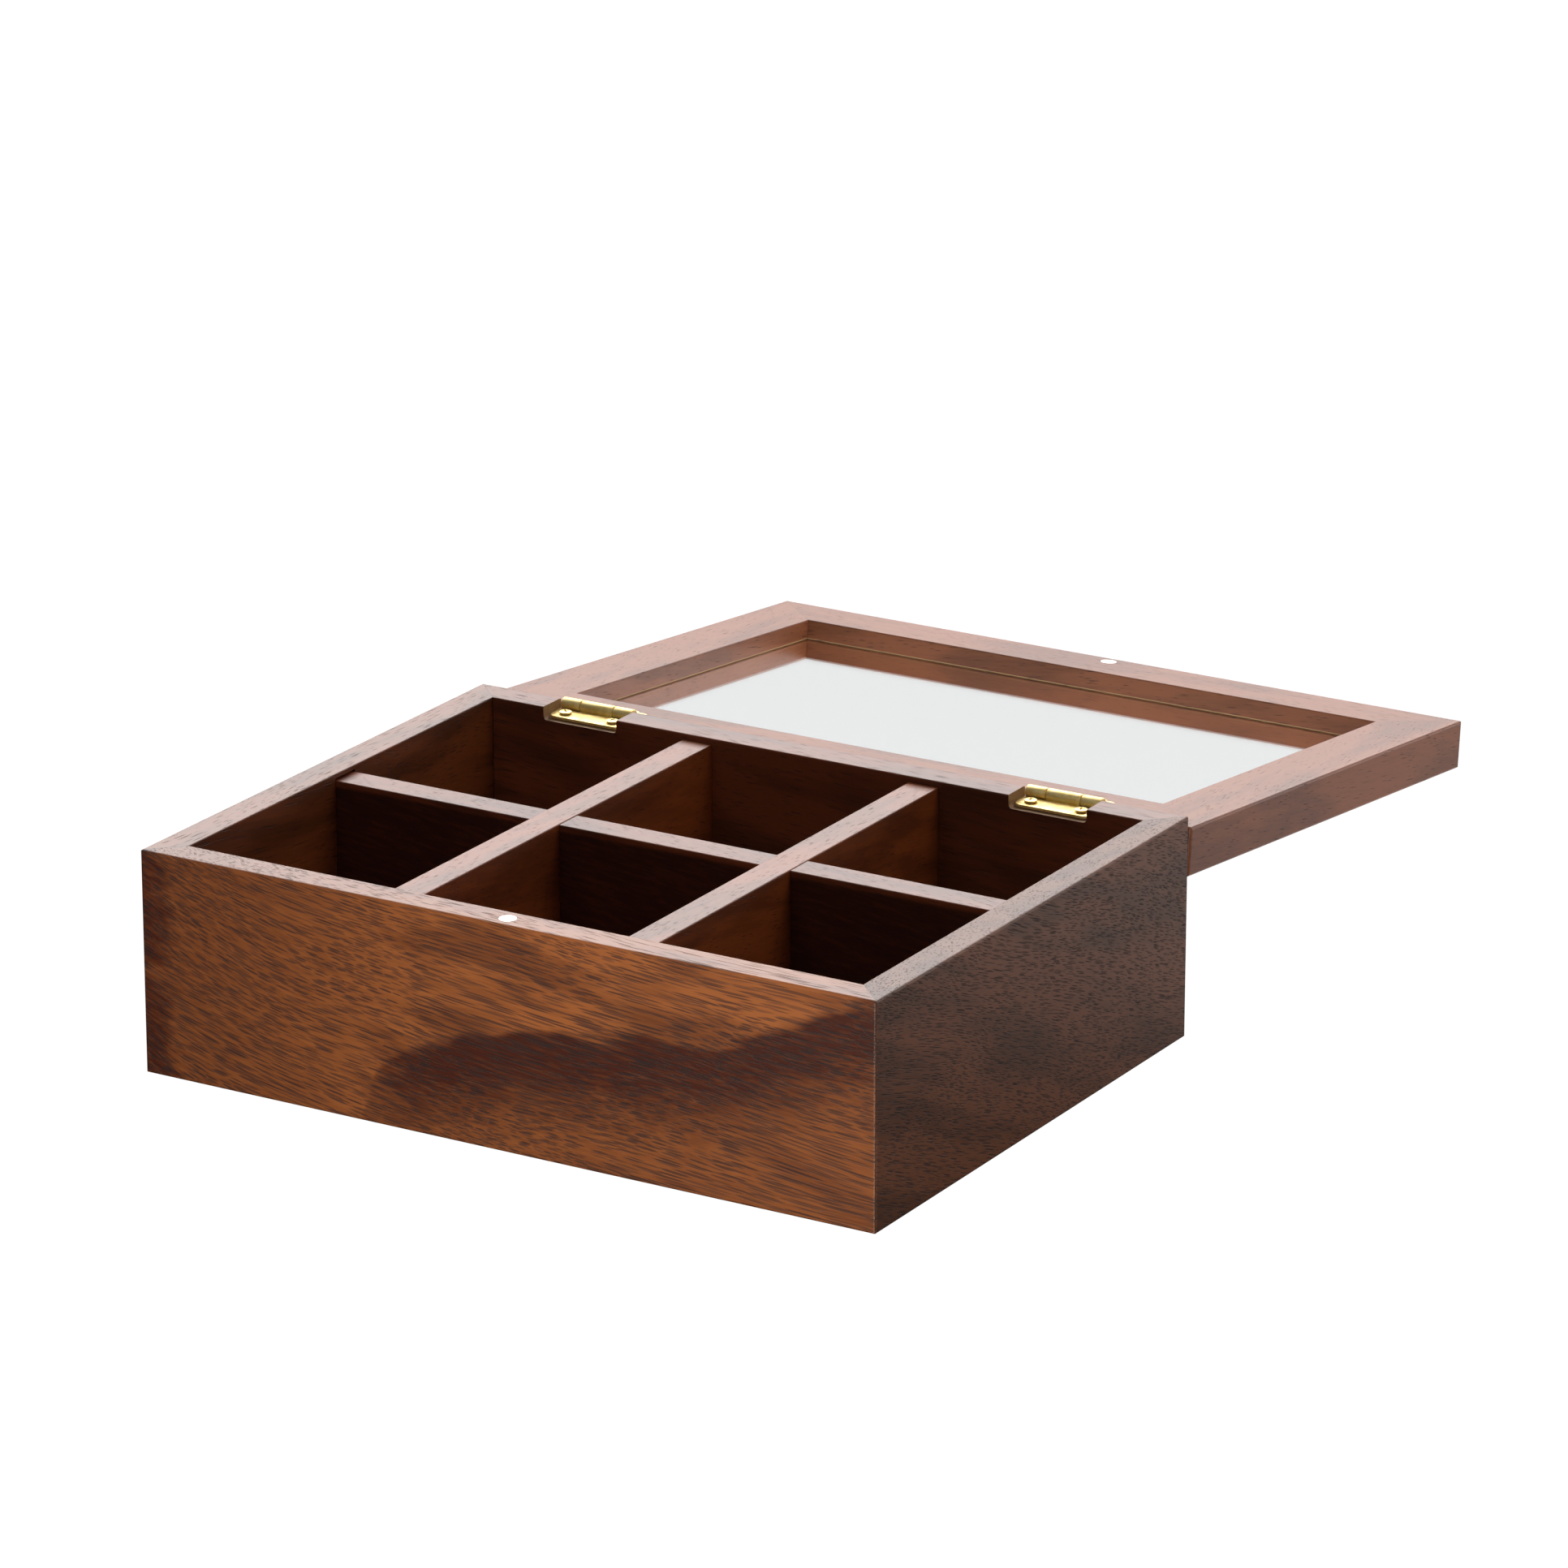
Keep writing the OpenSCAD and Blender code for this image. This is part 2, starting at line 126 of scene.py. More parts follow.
def acacia():
    """Grain, pores, dark figure and satin oil of acacia, on a vector in millimetres along X."""
    tree, given, out = new_group(
        "oiled_acacia",
        [
            ("Grain", "NodeSocketVector", (0, 0, 0)),
            ("Drift", "NodeSocketFloat", 0.0),
            ("Rise", "NodeSocketFloat", 0.0),
            ("Sway", "NodeSocketFloat", 6.0),
            ("Pore Length", "NodeSocketFloat", 20.0),
            ("Pore Gap", "NodeSocketFloat", 1.2),
            ("Pore Amount", "NodeSocketFloat", 0.30),
            ("Cloud", "NodeSocketFloat", 0.5),
            ("Figure", "NodeSocketFloat", 0.0),
            ("Raw", "NodeSocketFloat", 0.0),
            ("Glue", "NodeSocketFloat", 0.0),
            ("Light Wood", "NodeSocketColor", (0.27, 0.092, 0.032, 1)),
            ("Dark Wood", "NodeSocketColor", (0.08, 0.027, 0.013, 1)),
            ("Raw Wood", "NodeSocketColor", (0.24, 0.14, 0.09, 1)),
            ("Satin", "NodeSocketFloat", 0.4),
        ],
        [
            ("Color", "NodeSocketColor"),
            ("Roughness", "NodeSocketFloat"),
            ("Height", "NodeSocketFloat"),
        ],
    )
    grain = given["Grain"]

    # The fibres wander as the tree grew: the whole bundle leans, and sways in long waves.
    along = put(tree, "ShaderNodeSeparateXYZ", {0: grain}).outputs[0]
    waves = noise(tree, shift(tree, "MULTIPLY", grain, WAVE_RATE), 1.0, 0.45)
    swing = shift(tree, "SUBTRACT", waves.outputs["Color"], (0.5, 0.5, 0.5))
    swing = put(
        tree, "ShaderNodeVectorMath", {0: swing, "Scale": given["Sway"]}, operation="SCALE"
    ).outputs[0]
    lean = put(
        tree,
        "ShaderNodeCombineXYZ",
        {
            1: reckon(tree, "MULTIPLY", along, given["Drift"]),
            2: reckon(tree, "MULTIPLY", along, given["Rise"]),
        },
    ).outputs[0]
    fibre = shift(tree, "ADD", shift(tree, "ADD", grain, swing), lean)

    # Open pores: long vessels, so that a face that cuts them at a slant shows short pointed
    # dashes and a face that runs along them shows long fine lines.
    gap = given["Pore Gap"]
    size = put(tree, "ShaderNodeCombineXYZ", {0: given["Pore Length"], 1: gap, 2: gap}).outputs[0]
    cell = put(
        tree,
        "ShaderNodeTexVoronoi",
        {"Vector": shift(tree, "DIVIDE", fibre, size), "Scale": 1.0},
        voronoi_dimensions="3D",
    )
    chance = put(tree, "ShaderNodeSeparateColor", {0: cell.outputs["Color"]}).outputs
    reach = reckon(tree, "MULTIPLY_ADD", chance[0], PORE_SPREAD, given["Pore Amount"])
    inside = reckon(tree, "SUBTRACT", reach, cell.outputs["Distance"])
    depth = reckon(tree, "MULTIPLY_ADD", chance[1], 0.5, 0.5)
    pores = reckon(tree, "MULTIPLY", ease(tree, inside, *PORE_SOFT), depth)

    # Fibre streaks, slow clouds of colour and the dark heartwood figure.
    streaks = noise(tree, shift(tree, "MULTIPLY", fibre, STREAK_RATE), 4.0, 0.65).outputs[0]
    clouds = noise(tree, shift(tree, "MULTIPLY", fibre, CLOUD_RATE), 2.0, 0.55).outputs[0]
    cloudy = reckon(tree, "MULTIPLY", ease(tree, clouds, *CLOUD_EDGE), given["Cloud"])
    dark = reckon(tree, "MAXIMUM", cloudy, given["Figure"])
    streaky = reckon(tree, "SUBTRACT", streaks, 0.5)
    dark = reckon(tree, "MULTIPLY_ADD", streaky, STREAK_DEPTH, dark, clamp=True)
    wood = tint(tree, dark, given["Light Wood"], given["Dark Wood"])
    wood = tint(tree, given["Raw"], wood, given["Raw Wood"])
    pore_wood = tint(tree, 1.0, wood, PORE_SHADE, "MULTIPLY")
    wood = tint(tree, pores, wood, pore_wood)
    wood = tint(tree, given["Glue"], wood, GLUE_BROWN)

    roughness = reckon(tree, "MULTIPLY_ADD", pores, PORE_ROUGH, given["Satin"])
    roughness = reckon(tree, "MULTIPLY_ADD", given["Raw"], RAW_ROUGH, roughness)
    flat = reckon(tree, "SUBTRACT", 1.0, pores)
    height = reckon(tree, "MULTIPLY_ADD", streaks, STREAK_RELIEF, flat)
    tree.links.new(wood, out.inputs["Color"])
    tree.links.new(roughness, out.inputs["Roughness"])
    tree.links.new(height, out.inputs["Height"])
    return tree


GLUE_SOFT = (0.6, 1.6)


def mitre_glue():
    """Mask of the hair-thin glue line where two members meet on the diagonal of the plan."""
    tree, given, out = new_group(
        "mitre_glue",
        [
            ("Place", "NodeSocketVector", (0, 0, 0)),
            ("Half Width", "NodeSocketFloat", 145.0),
            ("Half Depth", "NodeSocketFloat", 107.0),
            ("Line", "NodeSocketFloat", 0.20),
        ],
        [("Glue", "NodeSocketFloat")],
    )
    place = put(tree, "ShaderNodeSeparateXYZ", {0: given["Place"]}).outputs
    from_side = reckon(tree, "SUBTRACT", given["Half Width"], reckon(tree, "ABSOLUTE", place[0]))
    from_front = reckon(tree, "SUBTRACT", given["Half Depth"], reckon(tree, "ABSOLUTE", place[1]))
    off = reckon(tree, "ABSOLUTE", reckon(tree, "SUBTRACT", from_side, from_front))
    inner, outer = (reckon(tree, "MULTIPLY", given["Line"], share) for share in GLUE_SOFT)
    glue = ease(tree, off, inner, outer, 1.0, 0.0)
    tree.links.new(glue, out.inputs["Glue"])
    return tree


def cut_block():
    """Mask of what lies in a block, for joinery cuts where the bare wood shows."""
    tree, given, out = new_group(
        "cut_block",
        [
            ("Place", "NodeSocketVector", (0, 0, 0)),
            ("Centre", "NodeSocketVector", (0, 0, 0)),
            ("Half Size", "NodeSocketVector", (1, 1, 1)),
        ],
        [("Raw", "NodeSocketFloat")],
    )
    side = put(tree, "ShaderNodeSeparateXYZ", {0: given["Place"]}).outputs
    folded = put(
        tree,
        "ShaderNodeCombineXYZ",
        {0: reckon(tree, "ABSOLUTE", side[0]), 1: side[1], 2: side[2]},
    ).outputs[0]
    off = shift(tree, "ABSOLUTE", shift(tree, "SUBTRACT", folded, given["Centre"]))
    over = put(
        tree, "ShaderNodeSeparateXYZ", {0: shift(tree, "SUBTRACT", off, given["Half Size"])}
    ).outputs
    most = reckon(tree, "MAXIMUM", reckon(tree, "MAXIMUM", over[0], over[1]), over[2])
    tree.links.new(reckon(tree, "LESS_THAN", most, 0.0), out.inputs["Raw"])
    return tree


def use(tree, group, feeds):
    """Places a node group in a material with its own values; returns its outputs."""
    return put(tree, "ShaderNodeGroup", feeds, node_tree=group).outputs


def bare_material(name):
    """New material with its Principled shader; returns the three."""
    material = bpy.data.materials.new(name)
    material.use_nodes = True
    return material, material.node_tree, material.node_tree.nodes["Principled BSDF"]


ACACIA = acacia()
MITRE = mitre_glue()
CUT = cut_block()
BOX_FRAME = ((0.0, 0.0, 0.0), (0.0, 0.0, 0.0))
PORE_DEPTH = 0.05 * MM
HALF_W = 145.0
HALF_D = 107.0
HEIGHT = 81.0
FAN_REACH = 80.0
FAN_DIVE = 0.35
RIM_TOP = 0.3
RIM_DEEP = 1.3
RIM_LESS = 0.17
BOARD_STEP = (61.7, 37.3, 23.9)
OIL_IOR = 1.5


def board(name, seed, across, frame_turn=BOX_FRAME, raw=(), figure=None, fan=0.0, glue=1.0,
          rim=False, **look):
    """Material of one board. across is True where the grain runs front to back, seed picks the
    piece of the tree, raw lists the bare joinery cuts, figure makes a mask that darkens the
    board towards its Dark Wood colour, fan bends the fibres down at the left end, glue darkens
    the mitres and rim shrinks the pores on the top edge. look sets inputs of the wood group."""
    material, tree, shader = bare_material(name)
    place = put(tree, "ShaderNodeTexCoord").outputs["Object"]
    turn, move = frame_turn
    place = put(
        tree,
        "ShaderNodeMapping",
        {"Vector": place, "Rotation": turn, "Location": move, "Scale": (PER_M,) * 3},
    ).outputs[0]
    grain = put(
        tree,
        "ShaderNodeMapping",
        {
            "Vector": place,
            "Rotation": (0.0, 0.0, -math.pi / 2 if across else 0.0),
            "Location": tuple(seed * step for step in BOARD_STEP),
        },
    ).outputs[0]
    if fan:
        run = put(tree, "ShaderNodeSeparateXYZ", {0: place}).outputs[0]
        power = reckon(tree, "DIVIDE", reckon(tree, "ADD", run, HALF_W), -FAN_REACH)
        drop = reckon(tree, "MULTIPLY", reckon(tree, "EXPONENT", power), -fan * FAN_REACH)
        dive = reckon(tree, "MULTIPLY", drop, FAN_DIVE)
        drop = put(tree, "ShaderNodeCombineXYZ", {1: dive, 2: drop}).outputs[0]
        grain = shift(tree, "ADD", grain, drop)
    feeds = {"Grain": grain, **look}
    if glue:
        line = use(tree, MITRE, {"Place": place})[0]
        feeds["Glue"] = reckon(tree, "MULTIPLY", line, glue)
    if rim:
        up = put(tree, "ShaderNodeSeparateXYZ", {0: place}).outputs[2]
        amount = look["Pore Amount"]
        feeds["Pore Amount"] = ease(
            tree, up, HEIGHT - RIM_DEEP, HEIGHT - RIM_TOP, amount, amount - RIM_LESS
        )
    cuts = [
        use(tree, CUT, {"Place": place, "Centre": centre, "Half Size": half})[0]
        for centre, half in raw
    ]
    if cuts:
        mask = cuts[0]
        for cut in cuts[1:]:
            mask = reckon(tree, "MAXIMUM", mask, cut)
        feeds["Raw"] = mask
    if figure:
        feeds["Figure"] = figure(tree, place)
    wood = use(tree, ACACIA, feeds)
    bump = put(
        tree, "ShaderNodeBump", {"Strength": 1.0, "Distance": PORE_DEPTH, "Height": wood["Height"]}
    )
    tree.links.new(wood["Color"], shader.inputs["Base Color"])
    tree.links.new(wood["Roughness"], shader.inputs["Roughness"])
    tree.links.new(bump.outputs[0], shader.inputs["Normal"])
    shader.inputs["IOR"].default_value = OIL_IOR
    return material


def dress(node, material):
    """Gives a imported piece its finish."""
    mesh = frame["nodes"][node].data
    mesh.materials.clear()
    mesh.materials.append(material)


# Dark heartwood of the front board: it enters low on the left, sweeps up to the top right
# corner with a crisp upper edge and fades out below. SWEEP has the heights of that edge along
# the board, as shares of its height and length; the other sizes are in millimetres.
SWEEP = [
    (0.00, 0.00), (0.285, 0.00), (0.335, 0.30), (0.41, 0.44), (0.50, 0.54), (0.60, 0.60),
    (0.70, 0.65), (0.80, 0.70), (0.87, 0.80), (0.93, 0.91), (1.00, 1.00),
]
WOBBLE_RATE = (1 / 22, 1 / 22, 1 / 7)
WOBBLE = 13.0
SWEEP_EDGE = (-3.0, 5.0)
SWEEP_FADE = (10.0, 46.0)
SWEEP_REST = 0.36
SWEEP_START = (-74.0, -30.0)
START_LEVEL = 0.15
CORNER_REACH = (4.0, 26.0)
CORNER_WOBBLE = 2.6
CORNER_DARK = 0.92
BROAD_REACH = (-HALF_W, 30.0)
BROAD_DARK = 0.56


def front_figure(tree, place):
    """Mask of the front board's dark figure, with a broad darkening towards its left end."""
    rough = noise(tree, shift(tree, "MULTIPLY", place, WOBBLE_RATE), 2.0, 0.55)
    wobble = reckon(tree, "MULTIPLY", reckon(tree, "SUBTRACT", rough.outputs[0], 0.5), WOBBLE)
    sides = put(tree, "ShaderNodeSeparateXYZ", {0: place}).outputs
    run = ease(tree, sides[0], -HALF_W, HALF_W)
    run.node.interpolation_type = "LINEAR"
    curve = tree.nodes.new("ShaderNodeFloatCurve")
    line = curve.mapping.curves[0]
    line.points[0].location = SWEEP[0]
    line.points[1].location = SWEEP[-1]
    for spot in SWEEP[1:-1]:
        line.points.new(*spot)
    curve.mapping.update()
    tree.links.new(run, curve.inputs["Value"])
    edge = reckon(tree, "MULTIPLY_ADD", curve.outputs[0], HEIGHT, wobble)
    below = reckon(tree, "SUBTRACT", edge, sides[2])
    core = ease(tree, below, *SWEEP_EDGE)
    fade = ease(tree, below, *SWEEP_FADE, 1.0, SWEEP_REST)
    start = ease(tree, sides[0], *SWEEP_START, START_LEVEL, 1.0)
    sweep = reckon(tree, "MULTIPLY", reckon(tree, "MULTIPLY", core, fade), start)
    from_left = reckon(tree, "ADD", sides[0], HALF_W)
    corner = reckon(tree, "MULTIPLY_ADD", wobble, CORNER_WOBBLE, from_left)
    left = ease(tree, corner, *CORNER_REACH, CORNER_DARK, 0.0)
    # Broad darkening that is strongest at the left end and fades out just right of the middle.
    broad = ease(tree, sides[0], *BROAD_REACH, BROAD_DARK, 0.0)
    return reckon(tree, "MAXIMUM", reckon(tree, "MAXIMUM", sweep, left), broad)


# Middle and half size of the hinge mortises, the same on the left and on the right.
MORTISES = [((95.8, 101.6, 78.2), (15.6, 6.3, 2.95))]

dress("front_panel", board(
    "front_acacia", 1, False, figure=front_figure, fan=0.30, rim=True,
    **{"Drift": 0.06, "Rise": 0.05, "Sway": 13.0,
       "Pore Gap": 0.68, "Pore Amount": 0.48, "Cloud": 0.55,
       "Light Wood": (0.35, 0.112, 0.030, 1), "Dark Wood": (0.060, 0.012, 0.005, 1)}))
dress("back_panel", board(
    "back_acacia", 2, False, raw=MORTISES,
    **{"Drift": 0.06, "Rise": 0.06, "Sway": 8.0,
       "Pore Gap": 0.70, "Pore Amount": 0.20, "Cloud": 0.7,
       "Light Wood": (0.19, 0.050, 0.019, 1), "Dark Wood": (0.07, 0.021, 0.011, 1),
       "Raw Wood": (0.38, 0.25, 0.15, 1)}))
dress("left_panel", board(
    "left_acacia", 3, True,
    **{"Drift": 0.06, "Rise": 0.10, "Sway": 10.0,
       "Pore Gap": 0.70, "Pore Amount": 0.22, "Cloud": 0.7,
       "Light Wood": (0.22, 0.07, 0.026, 1), "Dark Wood": (0.07, 0.024, 0.012, 1)}))
dress("right_panel", board(
    "right_acacia", 4, True, rim=True,
    **{"Drift": 0.13, "Rise": 0.36, "Sway": 8.0, "Pore Gap": 0.62, "Pore Amount": 0.42,
       "Satin": 0.46, "Cloud": 0.6,
       "Light Wood": (0.18, 0.074, 0.042, 1), "Dark Wood": (0.055, 0.026, 0.018, 1)}))

# ---- Base board --------------------------------------------------------------------------
# One 5 mm acacia board, loose in a rebate under the four walls so that it can shrink and
# swell. Its top is the floor of the compartments.

dress("base_board", board(
    "base_acacia", 5, False, glue=0.0,
    **{"Drift": 0.05, "Rise": 0.05, "Sway": 9.0,
       "Pore Gap": 0.70, "Pore Amount": 0.20, "Cloud": 0.7,
       "Light Wood": (0.17, 0.055, 0.024, 1), "Dark Wood": (0.07, 0.024, 0.013, 1)}))

# ---- Dividers ----------------------------------------------------------------------------
# Two long dividers run front to back in housings and a cross divider is halved into them.
# They are 12 mm acacia, planed and oiled like the walls: the long ones a little redder, the
# cross divider coloured darker, and darker still below a paler top edge.

PALE_TOP = (HEIGHT - 5.5, HEIGHT - 3.2)
BODY_DARK = 0.95


def dark_body(tree, place):
    """Mask that darkens the cross divider below its paler top edge."""
    up = put(tree, "ShaderNodeSeparateXYZ", {0: place}).outputs[2]
    return ease(tree, up, *PALE_TOP, BODY_DARK, 0.0)


RED_WOOD = ((0.27, 0.078, 0.026, 1), (0.075, 0.022, 0.011, 1))
DARK_WOOD = ((0.20, 0.052, 0.019, 1), (0.032, 0.008, 0.005, 1))

for name, seed, across, figure, shades in (
        ("left_divider", 6, True, None, RED_WOOD),
        ("right_divider", 7, True, None, RED_WOOD),
        ("cross_divider", 8, False, dark_body, DARK_WOOD)):
    dress(name, board(
        name + "_acacia", seed, across, figure=figure, glue=0.0,
        **{"Drift": 0.09, "Rise": 0.12, "Sway": 6.0, "Pore Gap": 0.62, "Pore Amount": 0.17,
           "Cloud": 0.6, "Light Wood": shades[0], "Dark Wood": shades[1]}))

# ---- Lid frame ---------------------------------------------------------------------------
# Two rails and two stiles of 24 x 18 mm acacia, mitred and glued, with a groove for the
# glass. The patterns are laid on the closed lid and turned with it to where it lies open.

hinge = frame["joints"][0]
AXIS = Vector(hinge["pos_m"]) * PER_M
OPEN_TURN = math.radians(hinge["range_deg"][1])
closing = Matrix.Rotation(OPEN_TURN, 3, "X")
CLOSED_LID = ((OPEN_TURN, 0.0, 0.0), tuple(AXIS - closing @ AXIS))
LID_Z = 81.2
GLASS_EDGE = 7.5
RAIL_W = 24.0
LIP = 0.18
IN_RAIL = 0.2
GLUE_FAINT = 0.3
groove_lip = ((0.0, 0.0, LID_Z + GLASS_EDGE - LIP),
              (HALF_W - RAIL_W + IN_RAIL, HALF_D - RAIL_W + IN_RAIL, LIP))

for name, seed, across in (("lid_front_rail", 9, False), ("lid_back_rail", 10, False),
                           ("lid_left_stile", 11, True), ("lid_right_stile", 12, True)):
    dress(name, board(
        name + "_acacia", seed, across, frame_turn=CLOSED_LID, raw=[groove_lip],
        glue=GLUE_FAINT,
        **{"Drift": 0.08, "Rise": 0.10, "Sway": 6.0, "Pore Gap": 0.66, "Pore Amount": 0.15,
           "Cloud": 0.5, "Light Wood": (0.29, 0.098, 0.043, 1),
           "Dark Wood": (0.085, 0.031, 0.018, 1), "Raw Wood": (0.50, 0.31, 0.15, 1)}))

# ---- Glass -------------------------------------------------------------------------------
# A 3 mm pane of clear float glass, held 5 mm deep in the groove of the frame. Lamps shine
# through it on the wood behind.

GLASS_TINT = (0.975, 0.99, 0.985, 1)
GLASS_PASS = (0.92, 0.94, 0.93, 1)
GLASS_IOR = 1.52

material, tree, shader = bare_material("clear_glass")
shader.inputs["Base Color"].default_value = GLASS_TINT
shader.inputs["Roughness"].default_value = 0.0
shader.inputs["IOR"].default_value = GLASS_IOR
shader.inputs["Transmission Weight"].default_value = 1.0
paths = tree.nodes.new("ShaderNodeLightPath").outputs
lamp_ray = reckon(tree, "MAXIMUM", paths["Is Shadow Ray"], paths["Is Diffuse Ray"])
clear = put(tree, "ShaderNodeBsdfTransparent", {"Color": GLASS_PASS})
both = put(tree, "ShaderNodeMixShader", {0: lamp_ray, 1: shader.outputs[0], 2: clear.outputs[0]})
tree.links.new(both.outputs[0], tree.nodes["Material Output"].inputs["Surface"])
dress("lid_glass", material)

# ---- Hinges ------------------------------------------------------------------------------
# Two brass butt hinges, stamped from 1 mm sheet with the knuckles rolled round a brass pin.
# The edges are tumbled smooth and the faces satin, with faint lines from the rolls.

EDGE_ROUND = 0.14 * MM
MERGE_GAP = 0.002 * MM
FLAT_TURN = math.radians(0.5)
ROUND_TURN = math.radians(38)
CREASE_TURN = math.radians(32)


def softened(node, name, width):
    """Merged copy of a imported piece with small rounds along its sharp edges."""
    mesh = bpy.data.meshes.new(name)
    shape = bmesh.new()
    shape.from_mesh(frame["nodes"][node].data)
    bmesh.ops.remove_doubles(shape, verts=shape.verts, dist=MERGE_GAP)
    bmesh.ops.dissolve_limit(shape, angle_limit=FLAT_TURN, verts=shape.verts, edges=shape.edges)
    bmesh.ops.recalc_face_normals(shape, faces=shape.faces)
    shape.to_mesh(mesh)
    shape.free()
    piece = bpy.data.objects.new(name, mesh)
    bpy.context.scene.collection.objects.link(piece)
    bevel = piece.modifiers.new("rounds", "BEVEL")
    bevel.width = width
    bevel.segments = 2
    bevel.limit_method = "ANGLE"
    bevel.angle_limit = ROUND_TURN
    bevel.use_clamp_overlap = True
    bevel.harden_normals = False
    found = bpy.context.evaluated_depsgraph_get()
    done = bpy.data.meshes.new_from_object(piece.evaluated_get(found))
    piece.modifiers.clear()
    piece.data = done
    done.name = name
    done.shade_smooth()
    done.set_sharp_from_angle(angle=CREASE_TURN)
    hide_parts(node)
    return piece


BRASS_PALE = (0.96, 0.81, 0.41, 1)
BRASS_DEEP = (0.88, 0.68, 0.27, 1)
ROLL_RATE = (90.0, 5200.0, 5200.0)
ROLL_ROUGH = 0.12
STAIN_RATE = (420.0,) * 3
STAIN_EDGE = (0.35, 0.7)
STAIN_ROUGH = 0.1
SCRATCH_DEPTH = 0.02 * MM
SCRATCH_STRENGTH = 0.35


def brass(name, sheen):
    """Material of stamped brass with fine roller marks and a little stain."""
    material, tree, shader = bare_material(name)
    place = put(tree, "ShaderNodeTexCoord").outputs["Object"]
    rolls = noise(tree, shift(tree, "MULTIPLY", place, ROLL_RATE), 2.0, 0.6).outputs[0]
    stain = noise(tree, shift(tree, "MULTIPLY", place, STAIN_RATE), 3.0, 0.55).outputs[0]
    shade = tint(tree, ease(tree, stain, *STAIN_EDGE), BRASS_PALE, BRASS_DEEP)
    tree.links.new(shade, shader.inputs["Base Color"])
    rough = reckon(tree, "MULTIPLY_ADD", rolls, ROLL_ROUGH, sheen)
    rough = reckon(tree, "MULTIPLY_ADD", stain, STAIN_ROUGH, rough)
    tree.links.new(rough, shader.inputs["Roughness"])
    shader.inputs["Metallic"].default_value = 1.0
    scratch = reckon(tree, "ADD", rolls, stain)
    feeds = {"Strength": SCRATCH_STRENGTH, "Distance": SCRATCH_DEPTH, "Height": scratch}
    tree.links.new(put(tree, "ShaderNodeBump", feeds).outputs[0], shader.inputs["Normal"])
    return material


satin_brass = brass("satin_brass", 0.43)
bright_brass = brass("bright_brass", 0.28)

for side in ("left", "right"):
    for part, body in (("box_leaf", "box"), ("lid_leaf", "lid"), ("pin", "box")):
        node = side + "_hinge_" + part
        piece = softened(node, side + "_brass_" + part, EDGE_ROUND)
        piece.data.materials.clear()
        piece.data.materials.append(bright_brass if part == "pin" else satin_brass)
        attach(piece, body)

# ---- Screws ------------------------------------------------------------------------------
# Eight small brass wood screws, two in each leaf: a countersunk cone under a low domed head
# with a cross recess. They stop at whatever turn they bite at.

HEAD_D = 4.6 * MM
SHANK_D = 2.2 * MM
SHANK_L = 7.0 * MM
CONE_H = 1.15 * MM
RIM_H = 0.42 * MM
DOME_H = 0.30 * MM
SLOT_L = 2.7 * MM
SLOT_W = 0.62 * MM
SLOT_D = 0.8 * MM
OVERLAP = 0.05 * MM
FINE = 40
DOME_RINGS = 24
SCREW_CREASE = math.radians(30)
SCREW_SEED = 7


